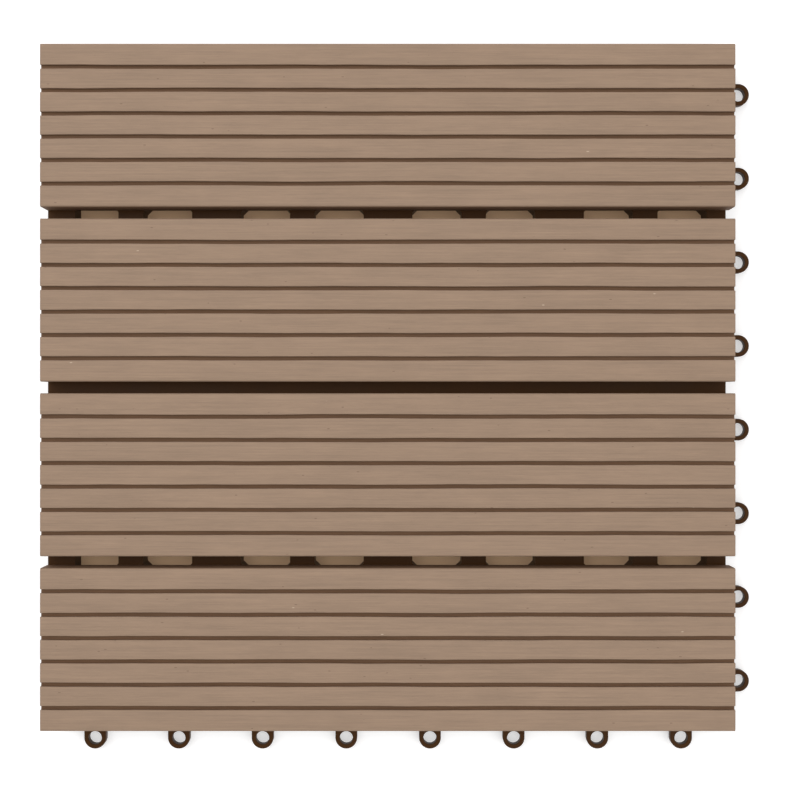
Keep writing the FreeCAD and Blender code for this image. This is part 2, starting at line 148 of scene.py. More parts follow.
class DeckTileSizes(bpy.types.PropertyGroup):
    """Sizes of the tile's finer shapes. The main sizes come from the frame."""

    groove_count: bpy.props.IntProperty(
        name="Grooves", description="Grooves along the top of each slat", default=6, min=1
    )
    groove_pitch: bpy.props.FloatProperty(
        name="Groove pitch", description="From groove to groove", default=0.010, unit="LENGTH"
    )
    groove_width: bpy.props.FloatProperty(
        name="Groove width", description="Across a groove", default=0.00165, unit="LENGTH"
    )
    groove_depth: bpy.props.FloatProperty(
        name="Groove depth", description="Below the ribs", default=0.0017, unit="LENGTH"
    )
    lip_radius: bpy.props.FloatProperty(
        name="Lip radius", description="Rounding of the groove's lips", default=0.0004, unit="LENGTH"
    )
    wander: bpy.props.FloatProperty(
        name="Groove wander", description="How far a groove strays sideways", default=0.00022,
        unit="LENGTH",
    )
    edge_radius: bpy.props.FloatProperty(
        name="Edge radius", description="Rounding of a slat's outer top edges", default=0.0010,
        unit="LENGTH",
    )
    corner_radius: bpy.props.FloatProperty(
        name="Corner radius", description="Rounding of a slat's upright corners", default=0.0009,
        unit="LENGTH",
    )
    end_radius: bpy.props.FloatProperty(
        name="End easing", description="Easing of the edges of a sawn end", default=0.0003,
        unit="LENGTH",
    )
    slices: bpy.props.IntProperty(
        name="Slices", description="Cuts along a slat that its waviness bends", default=110, min=1
    )
    flute_width: bpy.props.FloatProperty(
        name="Flute width", description="Shallow channel under a slat", default=0.0080, unit="LENGTH"
    )
    flute_depth: bpy.props.FloatProperty(
        name="Flute depth", description="Up from a slat's underside", default=0.0016, unit="LENGTH"
    )
    flute_places: bpy.props.FloatVectorProperty(
        name="Flute places", description="From a slat's middle, on both sides", size=2,
        default=(0.014, 0.028), unit="LENGTH",
    )
    loop_count: bpy.props.IntProperty(
        name="Loops", description="Loops, or pegs, on a side", default=8, min=1
    )
    loop_pitch: bpy.props.FloatProperty(
        name="Loop pitch", description="From loop to loop", default=0.037, unit="LENGTH"
    )
    loop_reach: bpy.props.FloatProperty(
        name="Loop reach", description="Tile's centre to a loop's middle", default=0.1547, unit="LENGTH"
    )
    loop_radius: bpy.props.FloatProperty(
        name="Loop radius", description="Outside of a loop", default=0.0048, unit="LENGTH"
    )
    right_wall: bpy.props.FloatProperty(
        name="Right wall", description="Tile's centre to the right outer wall", default=0.1477,
        unit="LENGTH",
    )
    front_wall: bpy.props.FloatProperty(
        name="Front wall", description="Tile's centre to the front outer wall", default=0.1462,
        unit="LENGTH",
    )
    peg_wall: bpy.props.FloatProperty(
        name="Peg wall", description="Tile's centre to the walls behind the pegs", default=0.1385,
        unit="LENGTH",
    )
    wall_to_window: bpy.props.FloatProperty(
        name="Wall to window", description="Right or front wall to the nearest drain window",
        default=0.0082, unit="LENGTH",
    )
    peg_wall_cover: bpy.props.FloatProperty(
        name="Peg wall cover", description="Floor hidden by the walls behind the pegs", default=0.0010,
        unit="LENGTH",
    )
    boss_pitch: bpy.props.FloatProperty(
        name="Boss pitch", description="From screw boss to screw boss", default=0.075, unit="LENGTH"
    )
    boss_radius: bpy.props.FloatProperty(
        name="Boss radius", description="Outside of a screw boss", default=0.0065, unit="LENGTH"
    )
    mould_radius: bpy.props.FloatProperty(
        name="Mould radius", description="Rounding of the moulding's edges", default=0.00025,
        unit="LENGTH",
    )
    screw_column: bpy.props.FloatProperty(
        name="Screw column", description="Tile's middle to a screw, along a slat", default=0.1125,
        unit="LENGTH",
    )
    head_radius: bpy.props.FloatProperty(
        name="Head radius", description="Pan head of a screw", default=0.0033, unit="LENGTH"
    )
    head_height: bpy.props.FloatProperty(
        name="Head height", description="Pan head of a screw, to its seat", default=0.0018,
        unit="LENGTH",
    )
    recess_radius: bpy.props.FloatProperty(
        name="Recess radius", description="Six-lobed drive recess in the head", default=0.0013,
        unit="LENGTH",
    )
    recess_depth: bpy.props.FloatProperty(
        name="Recess depth", description="Six-lobed drive recess in the head", default=0.0011,
        unit="LENGTH",
    )
    core_radius: bpy.props.FloatProperty(
        name="Core radius", description="Root of the screw's thread", default=0.0012, unit="LENGTH"
    )
    thread_height: bpy.props.FloatProperty(
        name="Thread height", description="Crest of the thread above its root", default=0.0005,
        unit="LENGTH",
    )
    thread_pitch: bpy.props.FloatProperty(
        name="Thread pitch", description="From turn to turn", default=0.0014, unit="LENGTH"
    )


class DeckTileFinish(bpy.types.PropertyGroup):
    """Colours of the tile and its stage."""

    rib: bpy.props.FloatVectorProperty(
        name="Brushed ribs", description="Top of the slats", subtype="COLOR", size=4,
        default=(0.306, 0.209, 0.143, 1.0), min=0.0, max=1.0,
    )
    skin: bpy.props.FloatVectorProperty(
        name="Unbrushed skin", description="Sides and underside of the slats", subtype="COLOR", size=4,
        default=(0.175, 0.098, 0.055, 1.0), min=0.0, max=1.0,
    )
    # Painted shade: the groove floors are coloured darker than the skin, in place of the shade deep in
    # the grooves
    groove: bpy.props.FloatVectorProperty(
        name="Groove floors", description="Bottom of the grooves", subtype="COLOR", size=4,
        default=(0.145, 0.076, 0.038, 1.0), min=0.0, max=1.0,
    )
    sawn: bpy.props.FloatVectorProperty(
        name="Sawn ends", description="Ends of the slats, as the saw left them", subtype="COLOR",
        size=4, default=(0.225, 0.142, 0.092, 1.0), min=0.0, max=1.0,
    )
    plastic: bpy.props.FloatVectorProperty(
        name="Base plastic", description="Moulded grid base", subtype="COLOR", size=4,
        default=(0.058, 0.0225, 0.0046, 1.0), min=0.0, max=1.0,
    )
    steel: bpy.props.FloatVectorProperty(
        name="Screw steel", description="Zinc-coated screws", subtype="COLOR", size=4,
        default=(0.56, 0.56, 0.57, 1.0), min=0.0, max=1.0,
    )
    floor: bpy.props.FloatVectorProperty(
        name="Floor", description="Plain pale floor", subtype="COLOR", size=4,
        default=(0.80, 0.80, 0.80, 1.0), min=0.0, max=1.0,
    )
    # Painted bounce light: the floor under the tile is tinted tan, in place of the light that the slats
    # pass on
    painted_bounce_floor: bpy.props.FloatVectorProperty(
        name="Shaded floor", description="Floor under the tile, in the light that the slats pass on",
        subtype="COLOR", size=4, default=(0.80, 0.52, 0.31, 1.0), min=0.0, max=1.0,
    )


def near(a, b):
    return abs(a - b) < CLOSE


# Node trees


def add_node(tree, kind, **settings):
    node = tree.nodes.new(kind)
    node.location = (180 * len(tree.nodes), 0)
    for name, value in settings.items():
        setattr(node, name, value)
    return node


def feed(tree, source, target):
    """Links a socket to another, or sets the target to a plain value."""
    if isinstance(source, bpy.types.NodeSocket):
        tree.links.new(source, target)
    else:
        target.default_value = source


def calculate(tree, operation, a, b=0.5, clamp=False):
    node = add_node(tree, "ShaderNodeMath", operation=operation, use_clamp=clamp)
    feed(tree, a, node.inputs[0])
    feed(tree, b, node.inputs[1])
    return node.outputs[0]


def mix_colours(tree, factor, a, b):
    node = add_node(tree, "ShaderNodeMix", data_type="RGBA")
    feed(tree, factor, node.inputs["Factor"])
    feed(tree, a, node.inputs[6])
    feed(tree, b, node.inputs[7])
    return node.outputs[2]


def stretched_position(tree, lengthwise, crosswise):
    """Object coordinates counted in grains, so many to the metre along X and across it."""
    place = add_node(tree, "ShaderNodeTexCoord").outputs["Object"]
    rate = add_node(tree, "ShaderNodeCombineXYZ")
    feed(tree, lengthwise, rate.inputs["X"])
    feed(tree, crosswise, rate.inputs["Y"])
    feed(tree, crosswise, rate.inputs["Z"])
    scaled = add_node(tree, "ShaderNodeVectorMath", operation="MULTIPLY")
    feed(tree, place, scaled.inputs[0])
    feed(tree, rate.outputs[0], scaled.inputs[1])
    return scaled.outputs[0]


def brighten(tree, colour, amount):
    scaled = add_node(tree, "ShaderNodeVectorMath", operation="SCALE")
    feed(tree, colour, scaled.inputs[0])
    feed(tree, amount, scaled.inputs["Scale"])
    return scaled.outputs[0]


def new_group(name, inputs, outputs):
    tree = bpy.data.node_groups.new(name, "ShaderNodeTree")
    for label, kind, default in inputs:
        socket = tree.interface.new_socket(label, in_out="INPUT", socket_type=kind)
        socket.default_value = default
    for label, kind in outputs:
        tree.interface.new_socket(label, in_out="OUTPUT", socket_type=kind)
    return tree, add_node(tree, "NodeGroupInput").outputs, add_node(tree, "NodeGroupOutput").inputs


def grain_group():
    """Light and dark grain, as long as asked along X, that also roughens and raises the surface."""
    inputs = (
        ("Color", "NodeSocketColor", (0.5, 0.5, 0.5, 1.0)),
        ("Lengthwise", "NodeSocketFloat", 100.0),
        ("Crosswise", "NodeSocketFloat", 100.0),
        ("Contrast", "NodeSocketFloat", 0.1),
        ("Roughness", "NodeSocketFloat", 0.5),
        ("Roughness Spread", "NodeSocketFloat", 0.1),
    )
    outputs = (
        ("Color", "NodeSocketColor"),
        ("Roughness", "NodeSocketFloat"),
        ("Height", "NodeSocketFloat"),
    )
    tree, given, result = new_group("Grain", inputs, outputs)
    texture = add_node(tree, "ShaderNodeTexNoise", noise_dimensions="3D")
    texture.inputs["Scale"].default_value = 1.0
    texture.inputs["Detail"].default_value = 4.0
    texture.inputs["Roughness"].default_value = 0.6
    place = stretched_position(tree, given["Lengthwise"], given["Crosswise"])
    feed(tree, place, texture.inputs["Vector"])
    centred = calculate(tree, "SUBTRACT", texture.outputs[0], 0.5)
    swing = calculate(tree, "MULTIPLY", centred, given["Contrast"])
    amount = calculate(tree, "MULTIPLY_ADD", swing, GRAIN_GAIN)
    amount.node.inputs[2].default_value = 1.0
    feed(tree, brighten(tree, given["Color"], amount), result["Color"])
    spread = calculate(tree, "MULTIPLY", centred, given["Roughness Spread"])
    feed(tree, calculate(tree, "ADD", spread, given["Roughness"], clamp=True), result["Roughness"])
    feed(tree, texture.outputs[0], result["Height"])
    return tree


def fleck_group():
    """Sparse pale and dark flecks, one in some of the cells of a stretched mosaic."""
    inputs = (
        ("Color", "NodeSocketColor", (0.5, 0.5, 0.5, 1.0)),
        ("Pale Color", "NodeSocketColor", (0.8, 0.7, 0.6, 1.0)),
        ("Dark Color", "NodeSocketColor", (0.1, 0.05, 0.03, 1.0)),
        ("Lengthwise", "NodeSocketFloat", 300.0),
        ("Crosswise", "NodeSocketFloat", 900.0),
        ("Pale Share", "NodeSocketFloat", 0.01),
        ("Dark Share", "NodeSocketFloat", 0.02),
        ("Size", "NodeSocketFloat", 0.3),
    )
    tree, given, result = new_group("Flecks", inputs, (("Color", "NodeSocketColor"),))
    cells = add_node(tree, "ShaderNodeTexVoronoi", feature="F1")
    cells.inputs["Scale"].default_value = 1.0
    place = stretched_position(tree, given["Lengthwise"], given["Crosswise"])
    feed(tree, place, cells.inputs["Vector"])
    inside = calculate(tree, "LESS_THAN", cells.outputs["Distance"], given["Size"])
    chance = add_node(tree, "ShaderNodeSeparateColor")
    feed(tree, cells.outputs["Color"], chance.inputs[0])
    colour = given["Color"]
    for channel, share, shade in (
        ("Red", "Pale Share", "Pale Color"),
        ("Green", "Dark Share", "Dark Color"),
    ):
        chosen = calculate(tree, "LESS_THAN", chance.outputs[channel], given[share])
        mask = calculate(tree, "MULTIPLY", chosen, inside)
        mask = calculate(tree, "MULTIPLY", mask, FLECK_COVER)
        colour = mix_colours(tree, mask, colour, given[shade])
    feed(tree, colour, result["Color"])
    return tree


def use_group(tree, group, **values):
    """Places a group and fills its inputs; an underscore in a name stands for a space."""
    node = add_node(tree, "ShaderNodeGroup", node_tree=group)
    for name, value in values.items():
        feed(tree, value, node.inputs[name.replace("_", " ")])
    return node.outputs


def shared_group(name, maker):
    return bpy.data.node_groups.get(name) or maker()


def new_material(name):
    material = bpy.data.materials.new(name)
    material.use_nodes = True
    tree = material.node_tree
    return material, tree, tree.nodes["Principled BSDF"].inputs


def raise_surface(tree, shader, height, distance, strength):
    bump = add_node(tree, "ShaderNodeBump")
    bump.inputs["Strength"].default_value = strength
    bump.inputs["Distance"].default_value = distance
    feed(tree, height, bump.inputs["Height"])
    feed(tree, bump.outputs["Normal"], shader["Normal"])


def smooth_step(tree, value, start, end):
    ramp = add_node(tree, "ShaderNodeMapRange", interpolation_type="SMOOTHSTEP")
    feed(tree, value, ramp.inputs["Value"])
    ramp.inputs["From Min"].default_value = start
    ramp.inputs["From Max"].default_value = end
    return ramp.outputs["Result"]


def between(tree, share, low, high):
    """A value that goes from low to high as the share goes from nought to one."""
    ramp = add_node(tree, "ShaderNodeMapRange")
    feed(tree, share, ramp.inputs["Value"])
    ramp.inputs["To Min"].default_value = low
    ramp.inputs["To Max"].default_value = high
    return ramp.outputs["Result"]


def separate_place(tree):
    """Object coordinates, as three sockets."""
    place = add_node(tree, "ShaderNodeSeparateXYZ")
    feed(tree, add_node(tree, "ShaderNodeTexCoord").outputs["Object"], place.inputs[0])
    return place.outputs


def direct_rays(tree):
    """One for the rays that see a backdrop directly: from the camera, off gloss or through glass."""
    rays = add_node(tree, "ShaderNodeLightPath").outputs
    either = calculate(tree, "MAXIMUM", rays["Is Camera Ray"], rays["Is Glossy Ray"])
    return calculate(tree, "MAXIMUM", either, rays["Is Transmission Ray"])


def composite_material(finish, rib_top, slat_end):
    """Wood and plastic composite: brushed ribs, darker skin where no brush reached, painted shade on
    the groove floors, sawn ends.
    """
    material, tree, shader = new_material("Brushed composite")
    grain = shared_group("Grain", grain_group)
    flecks = shared_group("Flecks", fleck_group)
    clouds = use_group(
        tree, grain, Color=finish.rib, Lengthwise=42.0, Crosswise=110.0, Contrast=0.07,
        Roughness=0.72, Roughness_Spread=0.1,
    )
    strokes = use_group(
        tree, grain, Color=clouds["Color"], Lengthwise=26.0, Crosswise=1300.0, Contrast=0.11,
        Roughness=clouds["Roughness"], Roughness_Spread=0.2,
    )
    hairs = use_group(
        tree, grain, Color=strokes["Color"], Lengthwise=160.0, Crosswise=3800.0, Contrast=0.08,
        Roughness=strokes["Roughness"], Roughness_Spread=0.15,
    )
    brushed = use_group(
        tree, flecks, Color=hairs["Color"], Pale_Color=(0.60, 0.47, 0.36, 1.0),
        Dark_Color=(0.18, 0.115, 0.076, 1.0), Lengthwise=420.0, Crosswise=1300.0,
        Pale_Share=0.0003, Dark_Share=0.007, Size=0.26,
    )
    # Painted shade: the groove floors take the darker groove colour in place of the skin
    groove_shade_mask = add_node(tree, "ShaderNodeAttribute", attribute_name=GROOVE_SHADE_MASK).outputs["Fac"]
    skin_and_groove_shade = mix_colours(tree, groove_shade_mask, finish.skin, finish.groove)
    skin = use_group(
        tree, grain, Color=skin_and_groove_shade, Lengthwise=60.0, Crosswise=600.0, Contrast=0.12,
        Roughness=0.55, Roughness_Spread=0.2,
    )
    crumbs = use_group(
        tree, grain, Color=finish.sawn, Lengthwise=1400.0, Crosswise=1400.0, Contrast=0.22,
        Roughness=0.85, Roughness_Spread=0.1,
    )
    sawn = use_group(
        tree, flecks, Color=crumbs["Color"], Pale_Color=(0.40, 0.28, 0.19, 1.0),
        Dark_Color=(0.11, 0.065, 0.04, 1.0), Lengthwise=800.0, Crosswise=1100.0,
        Pale_Share=0.16, Dark_Share=0.12, Size=0.34,
    )
    place = separate_place(tree)
    touched = smooth_step(tree, place["Z"], rib_top - BRUSH_START, rib_top - BRUSH_FULL)
    colour = mix_colours(tree, touched, skin["Color"], brushed["Color"])
    endwards = calculate(tree, "ABSOLUTE", place["X"])
    cut_off = smooth_step(tree, endwards, slat_end - SAW_START, slat_end - SAW_FULL)
    feed(tree, mix_colours(tree, cut_off, colour, sawn["Color"]), shader["Base Color"])
    feed(tree, hairs["Roughness"], shader["Roughness"])
    heights = calculate(tree, "ADD", strokes["Height"], hairs["Height"])
    raise_surface(tree, shader, heights, distance=0.00012, strength=0.6)
    shader["Specular IOR Level"].default_value = 0.35
    return material


def plastic_material(finish):
    """Satin moulded plastic with a fine spark-eroded grain."""
    material, tree, shader = new_material("Moulded plastic")
    grain = shared_group("Grain", grain_group)
    clouds = use_group(
        tree, grain, Color=finish.plastic, Lengthwise=60.0, Crosswise=60.0, Contrast=0.08,
        Roughness=0.42, Roughness_Spread=0.12,
    )
    fine = use_group(
        tree, grain, Color=clouds["Color"], Lengthwise=2600.0, Crosswise=2600.0, Contrast=0.05,
        Roughness=clouds["Roughness"], Roughness_Spread=0.1,
    )
    feed(tree, fine["Color"], shader["Base Color"])
    feed(tree, fine["Roughness"], shader["Roughness"])
    raise_surface(tree, shader, fine["Height"], distance=0.00005, strength=0.4)
    shader["Specular IOR Level"].default_value = 0.09
    return material


def steel_material(finish):
    """Zinc-coated steel, slightly clouded."""
    material, tree, shader = new_material("Zinc-coated steel")
    grain = shared_group("Grain", grain_group)
    coat = use_group(
        tree, grain, Color=finish.steel, Lengthwise=900.0, Crosswise=900.0, Contrast=0.10,
        Roughness=0.36, Roughness_Spread=0.2,
    )
    feed(tree, coat["Color"], shader["Base Color"])
    feed(tree, coat["Roughness"], shader["Roughness"])
    shader["Metallic"].default_value = 1.0
    raise_surface(tree, shader, coat["Height"], distance=0.00003, strength=0.3)
    return material


def floor_material(finish, sizes):
    """A pale floor, near white to the camera, with painted tan bounce light under the tile, and unseen
    from underneath.
    """
    material, tree, shader = new_material("Pale floor")
    shader["Roughness"].default_value = 0.9
    place = separate_place(tree)
    open_floor = 0.0
    for axis, test, limit in (
        ("X", "GREATER_THAN", sizes.right_wall - sizes.wall_to_window),
        ("Y", "GREATER_THAN", sizes.peg_wall - sizes.peg_wall_cover),
        ("X", "LESS_THAN", sizes.peg_wall_cover - sizes.peg_wall),
        ("Y", "LESS_THAN", sizes.wall_to_window - sizes.front_wall),
    ):
        past = calculate(tree, test, place[axis], limit)
        open_floor = calculate(tree, "MAXIMUM", past, open_floor)
    # Painted bounce light under the tile: a tan colour and a faint glow; the open floor stays an even
    # pale backdrop
    colour = mix_colours(tree, open_floor, finish.painted_bounce_floor, finish.floor)
    feed(tree, colour, shader["Base Color"])
    feed(tree, colour, shader["Emission Color"])
    strength = between(tree, open_floor, PAINTED_BOUNCE_GLOW, OPEN_GLOW)
    glow = calculate(tree, "MULTIPLY", direct_rays(tree), strength)
    feed(tree, glow, shader["Emission Strength"])
    clear = add_node(tree, "ShaderNodeBsdfTransparent").outputs[0]
    behind = add_node(tree, "ShaderNodeNewGeometry").outputs["Backfacing"]
    from_camera = add_node(tree, "ShaderNodeLightPath").outputs["Is Camera Ray"]
    sheer = calculate(tree, "MULTIPLY", behind, from_camera)
    either = add_node(tree, "ShaderNodeMixShader")
    feed(tree, sheer, either.inputs[0])
    feed(tree, tree.nodes["Principled BSDF"].outputs[0], either.inputs[1])
    feed(tree, clear, either.inputs[2])
    feed(tree, either.outputs[0], tree.nodes["Material Output"].inputs["Surface"])
    return material


# Pieces


def finish_piece(name, bm, material, nodes):
    """Makes a smooth-shaded piece that rides on the tile and stands for CAD nodes."""
    mesh = bpy.data.meshes.new(name)
    bm.to_mesh(mesh)
    bm.free()
    mesh.shade_smooth()
    mesh.set_sharp_from_angle(angle=CREASE)
    mesh.materials.append(material)
    piece = bpy.data.objects.new(name, mesh)
    bpy.context.scene.collection.objects.link(piece)
    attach(piece, "root")
    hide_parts(*nodes)
    return piece


def bevel_edges(bm, edges, radius, segments, clamp):
    if not edges:
        raise RuntimeError("no edges to round")
    bmesh.ops.bevel(
        bm, geom=edges, offset=radius, offset_type="OFFSET", affect="EDGES",
        segments=segments, profile=0.5, material=-1, clamp_overlap=clamp,
    )


def round_edges(bm, radius, segments, chosen):
    """Rounds each edge whose two ends pass the test."""
    edges = [edge for edge in bm.edges if chosen(edge.verts[0].co, edge.verts[1].co)]
    bevel_edges(bm, edges, radius, segments, clamp=True)


def cut_across(bm, point, normal):
    everything = bm.verts[:] + bm.edges[:] + bm.faces[:]
    bmesh.ops.bisect_plane(bm, geom=everything, dist=TOUCHING, plane_co=point, plane_no=normal)


def groove_middle(sizes, low, high, number):
    return (low.y + high.y) / 2 + (number - (sizes.groove_count - 1) / 2) * sizes.groove_pitch


def slat_channels(sizes, low, high):
    """Middle, half width, bottom and top of each groove and flute across a slat."""
    channels = []
    for number in range(sizes.groove_count):
        y = groove_middle(sizes, low, high, number)
        channels.append((y, sizes.groove_width / 2, high.z - sizes.groove_depth, high.z))
    for place in sizes.flute_places:
        for side in (-1, 1):
            y = (low.y + high.y) / 2 + side * place
            channels.append((y, sizes.flute_width / 2, low.z, low.z + sizes.flute_depth))
    return channels


def slat_section(sizes, low, high):
    """The grooved end face of a slat, as one face."""
    bm = bmesh.new()
    place = Matrix.Translation((low.x, (low.y + high.y) / 2, (low.z + high.z) / 2))
    size = Matrix.Diagonal((1.0, high.y - low.y, high.z - low.z, 1.0))
    upright = Matrix.Rotation(math.radians(90), 4, "Y")
    bmesh.ops.create_grid(bm, x_segments=1, y_segments=1, size=0.5, matrix=place @ size @ upright)
    channels = slat_channels(sizes, low, high)
    for y, half_width, _, _ in channels:
        cut_across(bm, (0, y - half_width, 0), (0, 1, 0))
        cut_across(bm, (0, y + half_width, 0), (0, 1, 0))
    cut_across(bm, (0, 0, high.z - sizes.groove_depth), (0, 0, 1))
    cut_across(bm, (0, 0, low.z + sizes.flute_depth), (0, 0, 1))
    removed = []
    for face in bm.faces:
        centre = face.calc_center_median()
        for y, half_width, bottom, top in channels:
            if abs(centre.y - y) < half_width and bottom < centre.z < top:
                removed.append(face)
    bmesh.ops.delete(bm, geom=removed, context="FACES")
    bmesh.ops.dissolve_limit(bm, angle_limit=FLAT, verts=bm.verts[:], edges=bm.edges[:])
    if len(bm.faces) != 1:
        raise RuntimeError("the slat's end isn't one face")
    return bm


def wave_grooves(bm, sizes, low, high, seed):
    """Lets each groove stray a little, and its two walls a little apart. Marks the grooves' floors for
    their painted shade.
    """
    middle = (low.y + high.y) / 2
    reach = sizes.groove_width / 2 + sizes.lip_radius + CLOSE
    mask = bm.verts.layers.float.new(GROOVE_SHADE_MASK)
    for vert in bm.verts:
        if vert.co.z < high.z - sizes.groove_depth - CLOSE:
            continue
        number = round((vert.co.y - middle) / sizes.groove_pitch + (sizes.groove_count - 1) / 2)
        number = min(max(number, 0), sizes.groove_count - 1)
        y = groove_middle(sizes, low, high, number)
        if abs(vert.co.y - y) > reach:
            continue
        # Groove floor vertices get the mask for the painted groove shade
        if near(vert.co.z, high.z - sizes.groove_depth):
            vert[mask] = 1.0
        side = 1.0 if vert.co.y > y else -1.0
        # The odd steps give each groove, wall and slat a stretch of the noise of its own
        drift = noise.noise(Vector((vert.co.x * DRIFT_RATE, number * 5.3, seed * 7.1)))
        width = noise.noise(Vector((vert.co.x * WALL_RATE, number * 3.7 + side * 11.0, seed * 4.9)))
        vert.co.y += sizes.wander * (drift + 0.5 * side * width)


def build_slat(sizes, low, high, seed):
    bm = slat_section(sizes, low, high)
    grown = bmesh.ops.extrude_face_region(bm, geom=bm.faces[:])
    far_end = [item for item in grown["geom"] if isinstance(item, bmesh.types.BMVert)]
    bmesh.ops.translate(bm, verts=far_end, vec=(high.x - low.x, 0, 0))
    bmesh.ops.recalc_face_normals(bm, faces=bm.faces[:])

    def at_side(co):
        return near(co.y, low.y) or near(co.y, high.y)

    def outer_top(a, b):
        return near(a.z, high.z) and near(b.z, high.z) and at_side(a) and at_side(b) and near(a.y, b.y)

    def upright_corner(a, b):
        return at_side(a) and at_side(b) and near(a.x, b.x) and near(a.y, b.y)

    def groove_lip(a, b):
        inner = min(a.y - low.y, high.y - a.y) > 2 * sizes.edge_radius
        return near(a.z, high.z) and near(b.z, high.z) and near(a.y, b.y) and inner

    def sawn_end(a, b):
        return near(a.x, b.x) and (near(a.x, low.x) or near(a.x, high.x))

    round_edges(bm, sizes.edge_radius, 4, outer_top)
    round_edges(bm, sizes.corner_radius, 3, upright_corner)
    round_edges(bm, sizes.lip_radius, 3, groove_lip)
    round_edges(bm, sizes.end_radius, 2, sawn_end)
    bmesh.ops.dissolve_degenerate(bm, edges=bm.edges[:], dist=SLAT_SLIVER)
    long_edges = [edge for edge in bm.edges if edge.calc_length() > (high.x - low.x) / 2]
    bmesh.ops.subdivide_edges(bm, edges=long_edges, cuts=sizes.slices)
    wave_grooves(bm, sizes, low, high, seed)
    bmesh.ops.recalc_face_normals(bm, faces=bm.faces[:])
    return bm


def round_prism(bm, centre, radius, sides, cuts, half_plane=None):
    """Turns the flats of an upright prism, or of one half of it, into a round wall."""
    corner = radius / math.cos(math.pi / sides)
    flat = 2 * radius * math.tan(math.pi / sides)

    def distance(co):
        return math.hypot(co.x - centre[0], co.y - centre[1])

    def on_outline(co):
        if half_plane:
            ahead = (co.x - centre[0]) * half_plane[0] + (co.y - centre[1]) * half_plane[1]
            if ahead < -CLOSE:
                return False
        return radius - CLOSE < distance(co) < corner + CLOSE

    flats = [
        edge for edge in bm.edges
        if near(edge.verts[0].co.z, edge.verts[1].co.z)
        and on_outline(edge.verts[0].co) and on_outline(edge.verts[1].co)
        and edge.calc_length() < 1.05 * flat
    ]
    if cuts:
        bmesh.ops.subdivide_edges(bm, edges=flats, cuts=cuts)
    for vert in bm.verts:
        if on_outline(vert.co):
            share = radius / distance(vert.co)
            vert.co.x = centre[0] + (vert.co.x - centre[0]) * share
            vert.co.y = centre[1] + (vert.co.y - centre[1]) * share


def build_base(sizes):
    """A merged copy of the base node, with its loops and bosses round and its outer edges eased."""
    bm = bmesh.new()
    bm.from_mesh(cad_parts["base_grid"].data)
    bmesh.ops.remove_doubles(bm, verts=bm.verts[:], dist=SAME_POINT)
    bmesh.ops.dissolve_limit(bm, angle_limit=FLAT, verts=bm.verts[:], edges=bm.edges[:])
    cut_across(bm, (sizes.loop_reach, 0, 0), (1, 0, 0))
    cut_across(bm, (0, -sizes.loop_reach, 0), (0, 1, 0))
    for number in range(sizes.loop_count):
        along = (number - (sizes.loop_count - 1) / 2) * sizes.loop_pitch
        round_prism(bm, (sizes.loop_reach, along), sizes.loop_radius, LOOP_FLATS, 2, (1, 0))
        round_prism(bm, (along, -sizes.loop_reach), sizes.loop_radius, LOOP_FLATS, 2, (0, -1))
    boss_places = [(number - (len(SLATS) - 1) / 2) * sizes.boss_pitch for number in range(len(SLATS))]
    for y in boss_places:
        for x in boss_places:
            round_prism(bm, (x, y), sizes.boss_radius, BOSS_FLATS, 0)

    def outside(co):
        past_loops = max(co.x - sizes.right_wall, -co.y - sizes.front_wall)
        past_pegs = max(-co.x, co.y) - sizes.peg_wall
        return max(past_loops, past_pegs) > -CLOSE

    bm.normal_update()
    edges = [
        edge for edge in bm.edges
        if outside(edge.verts[0].co) and outside(edge.verts[1].co)
        and edge.is_convex and edge.calc_face_angle() > CORNER
        and edge.calc_length() > sizes.mould_radius
    ]
    bevel_edges(bm, edges, sizes.mould_radius, 2, clamp=False)
    bmesh.ops.dissolve_degenerate(bm, edges=bm.edges[:], dist=BASE_SLIVER)
    bm.normal_update()
    folds = [
        edge for edge in bm.edges
        if len(edge.link_faces) == 2 and edge.calc_face_angle() > FOLD
    ]
    bmesh.ops.dissolve_edges(bm, edges=folds, use_verts=False)
    return bm


def screw_profile(sizes, head_bottom, seat, tip):
    """Radius and height of each point, from the middle of the drive recess to the tip."""
    head = sizes.head_radius
    recess = sizes.recess_radius
    recess_top = head_bottom + sizes.recess_depth
    profile = [(0.0, recess_top), (RECESS_FLAT * recess, recess_top)]
    profile.append((RECESS_FOOT * recess, recess_top - RECESS_STEP))
    profile.append((recess, head_bottom))
    profile.extend((share * head, head_bottom + rise) for share, rise in HEAD_DOME)
    profile.append((head, seat - HEAD_EASING))
    profile.append((head - HEAD_EASING, seat))
    profile.append((sizes.core_radius + NECK_FLARE, seat))
    rings = int((tip - seat) / (sizes.thread_pitch / RINGS_A_TURN))
    for ring in range(1, rings + 1):
        profile.append((sizes.core_radius, seat + (tip - seat) * ring / rings))
    profile.append((0.0, tip))
    return profile


